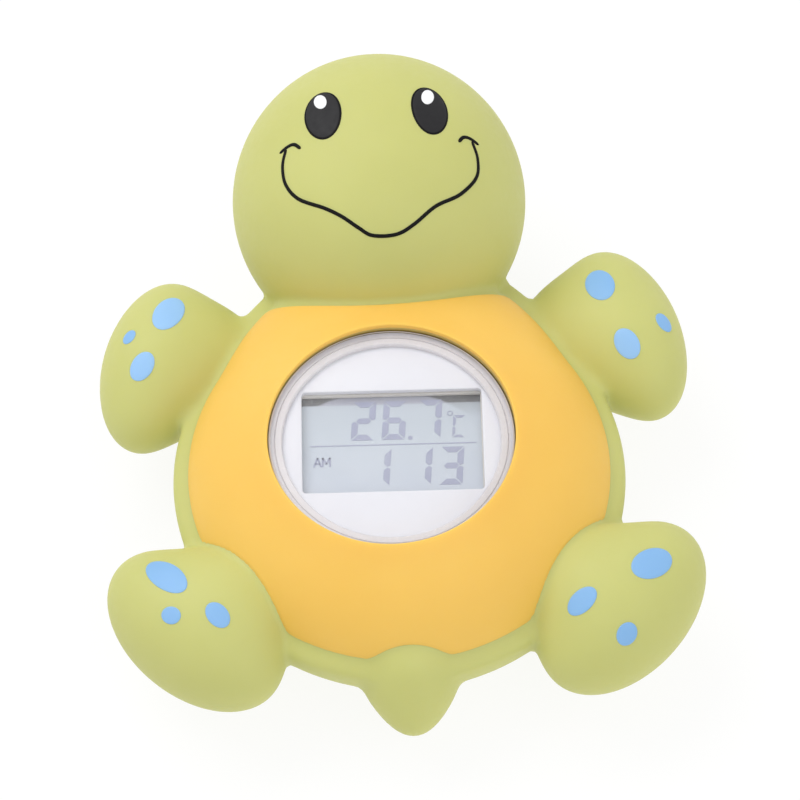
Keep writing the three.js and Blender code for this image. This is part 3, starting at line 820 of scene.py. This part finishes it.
def build_digits():
    """The dark segments: characters, decimal point, divider, degree ring and the two small letters."""
    material, tree, shader = node_material("lcd_segment")
    vary(tree, shader, (srgb(152, 156, 182), srgb(157, 161, 187)), 200, (0.35, 0.45), 800)
    outlines = []
    for character in CHARACTERS:
        outlines += character_outlines(*character)
    outlines.append(circle_points(POINT_CENTRE, DOT_RADIUS)[:-1])
    outlines.append(stroke_outline(DIVIDER_START, DIVIDER_END, 0.2))
    degree = circle_points(DEGREE_CENTRE, DOT_RADIUS)
    outlines += [stroke_outline(start, end, 0.16) for start, end in zip(degree, degree[1:])]
    outlines += letter_outlines()
    points, faces = prisms(outlines, DIGIT_FOOT, DIGIT_TOP)
    return add_piece("lcd_digits", in_module(points), faces, material, "module", smooth=False)


# ---------------------------------------------------------------- liquid crystal film

LCD_FOOT, LCD_MIDDLE, LCD_HEAD = srgb(194, 201, 214), srgb(188, 197, 208), srgb(184, 193, 203)
# Painted shade on the film: a painted shadow along its top, and darker painted shade in its corners.
LCD_SHADOW, LCD_CORNER_SHADE = srgb(150, 147, 166), srgb(66, 66, 70)
LCD_HALF_HEIGHT = 9.7
BAND_FOOT, BAND_SHARP, BAND_SHARE = 8.2, 8.6, 0.7       # the shade along the top, from soft to full
ARC_CENTRE, ARC_RADII = (-1.4, -12.0), (22.9, 23.4)     # the shade's corners are dark outside this arc
WEDGE_FROM, WEDGE_TO, WEDGE_SHARE = (0, 5.4), (6, 8.2), 0.3     # and more so towards the upper right


def math_node(tree, operation, *values):
    """A maths node of sockets and numbers."""
    node = place(tree, "ShaderNodeMath", operation=operation)
    for socket, value in zip(node.inputs, values):
        if isinstance(value, (int, float)):
            socket.default_value = value
        else:
            tree.links.new(value, socket)
    return node.outputs[0]


def step_between(tree, source, low, high):
    """0 below low, 1 above high, straight between."""
    node = place(tree, "ShaderNodeMapRange")
    node.inputs["From Min"].default_value = low
    node.inputs["From Max"].default_value = high
    tree.links.new(source, node.inputs["Value"])
    return node.outputs["Result"]


def tinted(tree, base, factor, color):
    """The base colour mixed towards another: inputs 0, 6 and 7 are the factor and the two colours."""
    node = place(tree, "ShaderNodeMix", data_type="RGBA")
    tree.links.new(factor, node.inputs[0])
    tree.links.new(base, node.inputs[6])
    node.inputs[7].default_value = (*color, 1)
    return node.outputs[2]


def lcd_material():
    """Grey-green film, paler towards the foot, with painted shadow along the top, darkest in its corners."""
    material, tree, shader = node_material("lcd_ground_painted_shade")
    where = place(tree, "ShaderNodeTexCoord")
    turn = place(tree, "ShaderNodeVectorRotate", rotation_type="Z_AXIS")
    turn.inputs["Center"].default_value = (MODULE_SHIFT * MM, SHELL_AXIS_Y * MM, 0)
    turn.inputs["Angle"].default_value = -MODULE_TURN
    tree.links.new(where.outputs["Object"], turn.inputs["Vector"])
    split = place(tree, "ShaderNodeSeparateXYZ")
    tree.links.new(turn.outputs[0], split.inputs[0])
    across = math_node(tree, "MULTIPLY_ADD", split.outputs["X"], 1 / MM, -MODULE_SHIFT)
    up = math_node(tree, "MULTIPLY_ADD", split.outputs["Y"], 1 / MM, -SHELL_AXIS_Y)
    ground = ramp(tree, step_between(tree, up, -LCD_HALF_HEIGHT, LCD_HALF_HEIGHT),
                  [(0.0, LCD_FOOT), (0.6, LCD_MIDDLE), (1.0, LCD_HEAD)])
    shadow_band = step_between(tree, up, BAND_FOOT, BAND_SHARP)
    ground = tinted(tree, ground, math_node(tree, "MULTIPLY", shadow_band, BAND_SHARE), LCD_SHADOW)
    arc_across = math_node(tree, "POWER", math_node(tree, "ADD", across, -ARC_CENTRE[0]), 2)
    arc_up = math_node(tree, "POWER", math_node(tree, "ADD", up, -ARC_CENTRE[1]), 2)
    arc = math_node(tree, "SQRT", math_node(tree, "ADD", arc_across, arc_up))
    beyond = step_between(tree, arc, *ARC_RADII)
    right = step_between(tree, across, WEDGE_FROM[0], WEDGE_TO[0])
    upper_right_shade = math_node(tree, "MULTIPLY", step_between(tree, up, WEDGE_FROM[1], WEDGE_TO[1]),
                      math_node(tree, "MULTIPLY", right, WEDGE_SHARE))
    # Painted shade: dark outside the arc, along the top and towards the upper right.
    dark = math_node(tree, "MULTIPLY", beyond, math_node(tree, "MAXIMUM", shadow_band, upper_right_shade))
    tree.links.new(tinted(tree, ground, dark, LCD_CORNER_SHADE), shader.inputs["Base Color"])
    shader.inputs["Roughness"].default_value = 0.3
    return material


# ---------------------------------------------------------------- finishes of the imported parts

PACKED_JOIN, PACKED_CREASE = 2 * JOIN_DISTANCE, math.radians(33)


def smooth_by_angle():
    """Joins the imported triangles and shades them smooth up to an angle."""
    group = bpy.data.node_groups.new("smooth_by_angle", "GeometryNodeTree")
    group.interface.new_socket("Geometry", in_out="INPUT", socket_type="NodeSocketGeometry")
    group.interface.new_socket("Geometry", in_out="OUTPUT", socket_type="NodeSocketGeometry")
    start = group.nodes.new("NodeGroupInput")
    end = group.nodes.new("NodeGroupOutput")
    merge = group.nodes.new("GeometryNodeMergeByDistance")
    merge.inputs["Distance"].default_value = PACKED_JOIN
    faces = group.nodes.new("GeometryNodeSetShadeSmooth")
    edges = group.nodes.new("GeometryNodeSetShadeSmooth")
    edges.domain = "EDGE"
    angle = group.nodes.new("GeometryNodeInputMeshEdgeAngle")
    compare = group.nodes.new("FunctionNodeCompare")
    compare.data_type = "FLOAT"
    compare.operation = "LESS_THAN"
    compare.inputs["B"].default_value = PACKED_CREASE
    group.links.new(angle.outputs["Unsigned Angle"], compare.inputs["A"])
    group.links.new(compare.outputs["Result"], edges.inputs["Shade Smooth"])
    for source, target in ((start, merge), (merge, faces), (faces, edges), (edges, end)):
        group.links.new(source.outputs[0], target.inputs[0])
    return group


def finish_nodes():
    """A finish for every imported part, by the name of its material slot."""
    casing = hard_plastic("casing_white", srgb(236, 236, 238), srgb(242, 242, 243), (0.28, 0.38))
    plate = hard_plastic("carrier_white", srgb(214, 210, 204), srgb(220, 216, 210), (0.4, 0.5))
    steel = metal("stainless", (0.55, 0.56, 0.58), (0.66, 0.67, 0.69), (0.22, 0.36))
    plated = metal("plated", (0.5, 0.5, 0.51), (0.62, 0.62, 0.63), (0.25, 0.42))
    rubber = hard_plastic("rubber_grey", srgb(98, 102, 106), srgb(110, 114, 118), (0.6, 0.75), 0.2, 1800)
    seal = hard_plastic("rubber_black", srgb(26, 26, 27), srgb(36, 36, 37), (0.6, 0.8), 0.2, 1800)
    board = hard_plastic("board_green", srgb(18, 84, 46), srgb(26, 100, 56), (0.3, 0.45), 0.15, 1500)
    epoxy = hard_plastic("epoxy_black", srgb(16, 16, 17), srgb(26, 26, 27), (0.3, 0.5), 0.2, 900)
    ceramic = hard_plastic("ceramic_tan", srgb(176, 146, 104), srgb(190, 160, 118), (0.4, 0.55))
    sheath = hard_plastic("cable_grey", srgb(130, 133, 136), srgb(142, 145, 148), (0.5, 0.65))
    zebra = hard_plastic("zebra_pink", srgb(176, 148, 146), srgb(190, 164, 160), (0.5, 0.65))
    glass = hard_plastic("lcd_glass_grey", srgb(150, 160, 164), srgb(160, 170, 174), (0.08, 0.12), 0.0)
    by_slot = {
        "white_casing": casing, "white_faceplate": plate, "stainless_steel": steel, "plated_steel": plated,
        "cell_case": steel, "button_rubber": rubber, "seal_rubber": seal, "board_laminate": board,
        "black_epoxy": epoxy, "ceramic": ceramic, "cable_sheath": sheath, "zebra_rubber": zebra,
        "lcd_glass": glass, "lcd_film": lcd_material(), "clear_plastic": casing, "soft_vinyl": GREEN,
    }
    smoother = smooth_by_angle()
    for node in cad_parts.values():
        finish = by_slot[node.material_slots[0].name.split(".")[0]]
        node.material_slots[0].material = finish
        if "custom_normal" in node.data.attributes:
            node.data.attributes.remove(node.data.attributes["custom_normal"])
        modifier = node.modifiers.new("smooth_by_angle", "NODES")
        modifier.node_group = smoother


# ---------------------------------------------------------------- light, floor and camera

AIM = (0.67, -12.11, 37.01)     # the middle of the view, millimetres in the object's frame
VIEW_AZIMUTH, VIEW_ELEVATION, VIEW_ROLL, VIEW_DISTANCE = -2.35, 60.55, 1.47, 700
FOCAL_LENGTH, SENSOR = 185.85, 36
WORLD_STRENGTH = 0.68
FLOOR_HEIGHT, FLOOR_RADII = -0.2, (25.0, 60.0, 250.0, 900.0)
FLOOR_GLOW, FLOOR_SHARE = 1.02, 0.85    # the sheet's own light, and its share of what is seen


def area_light(name, size, power, position):
    """A lamp aimed at the origin. Its size and position are in metres."""
    data = bpy.data.lights.new(name, "AREA")
    data.shape = "RECTANGLE"
    data.size, data.size_y = size
    data.energy = power
    lamp = bpy.data.objects.new(name, data)
    lamp.location = position
    lamp.rotation_euler = (-Vector(position)).to_track_quat("-Z", "Y").to_euler()
    bpy.context.scene.collection.objects.link(lamp)


def build_light():
    area_light("key", (0.8, 0.7), 4.3, (-0.38, 0.42, 0.75))
    area_light("fill", (0.9, 0.9), 2.0, (0.5, -0.5, 0.65))
    world = bpy.data.worlds.new("studio")
    world.use_nodes = True
    background = world.node_tree.nodes["Background"]
    background.inputs["Color"].default_value = (1, 1, 1, 1)
    background.inputs["Strength"].default_value = WORLD_STRENGTH
    bpy.context.scene.world = world


def build_floor():
    """A wide pale sheet. It is open under the belly, where the module comes out downwards."""
    columns = 96
    angles = np.arange(columns) * 2 * math.pi / columns
    rings = [np.stack([MODULE_SHIFT + radius * np.cos(angles), radius * np.sin(angles),
                       np.full(columns, FLOOR_HEIGHT)], -1) for radius in FLOOR_RADII]
    mesh = bpy.data.meshes.new("floor")
    mesh.from_pydata(in_object_frame(np.concatenate(rings)).tolist(), [], grid_faces(len(rings), columns))
    material, tree, shader = node_material("floor_white")
    vary(tree, shader, ((0.95, 0.95, 0.95), (0.97, 0.97, 0.97)), 8, (0.7, 0.8), 30)
    glow = place(tree, "ShaderNodeEmission")
    glow.inputs["Strength"].default_value = FLOOR_GLOW
    blend = place(tree, "ShaderNodeMixShader")
    blend.inputs["Fac"].default_value = FLOOR_SHARE
    tree.links.new(shader.outputs["BSDF"], blend.inputs[1])
    tree.links.new(glow.outputs["Emission"], blend.inputs[2])
    tree.links.new(blend.outputs["Shader"], tree.nodes["Material Output"].inputs["Surface"])
    mesh.materials.append(material)
    floor = bpy.data.objects.new("floor", mesh)
    bpy.context.scene.collection.objects.link(floor)


def build_camera():
    azimuth, elevation, roll = (math.radians(a) for a in (VIEW_AZIMUTH, VIEW_ELEVATION, VIEW_ROLL))
    back = Vector((math.sin(azimuth) * math.cos(elevation), -math.cos(azimuth) * math.cos(elevation),
                   math.sin(elevation)))
    right = Vector((math.cos(azimuth), math.sin(azimuth), 0))
    up = back.cross(right)
    tilted_right = math.cos(roll) * right - math.sin(roll) * up
    tilted_up = math.sin(roll) * right + math.cos(roll) * up
    data = bpy.data.cameras.new("camera")
    data.lens, data.sensor_width = FOCAL_LENGTH, SENSOR
    data.clip_start, data.clip_end = 0.01, 10
    camera = bpy.data.objects.new("camera", data)
    turn = Matrix((tilted_right, tilted_up, back)).transposed().to_4x4()
    camera.matrix_world = Matrix.Translation((Vector(AIM) + VIEW_DISTANCE * back) * MM) @ turn
    bpy.context.scene.collection.objects.link(camera)
    bpy.context.scene.camera = camera


# ---------------------------------------------------------------- the whole object

finish_nodes()
build_skin()
build_shell()
for patches, paint, paint_height in ((SPOTS, BLUE, 0.1), (EYES, BLACK, 0.08), (PUPILS, PUPIL, 0.11),
                                     (GLINTS, WHITE, 0.17)):
    for patch_name, patch_spec in patches.items():
        # Some spots take the paler blue that is painted light.
        finish = BLUE_PAINTED_LIGHT if patch_name in PAINTED_LIGHT_SPOTS else paint
        build_patch(patch_name, patch_spec, finish, paint_height)
build_line("mouth", MOUTH, MOUTH_WIDTH)
for tick_name, tick_angles in TICKS.items():
    build_line(tick_name, tick_angles, MOUTH_WIDTH)
build_faceplate()
build_cover()
build_digits()
build_floor()
build_light()
build_camera()
bpy.context.scene.view_settings.view_transform = "Standard"
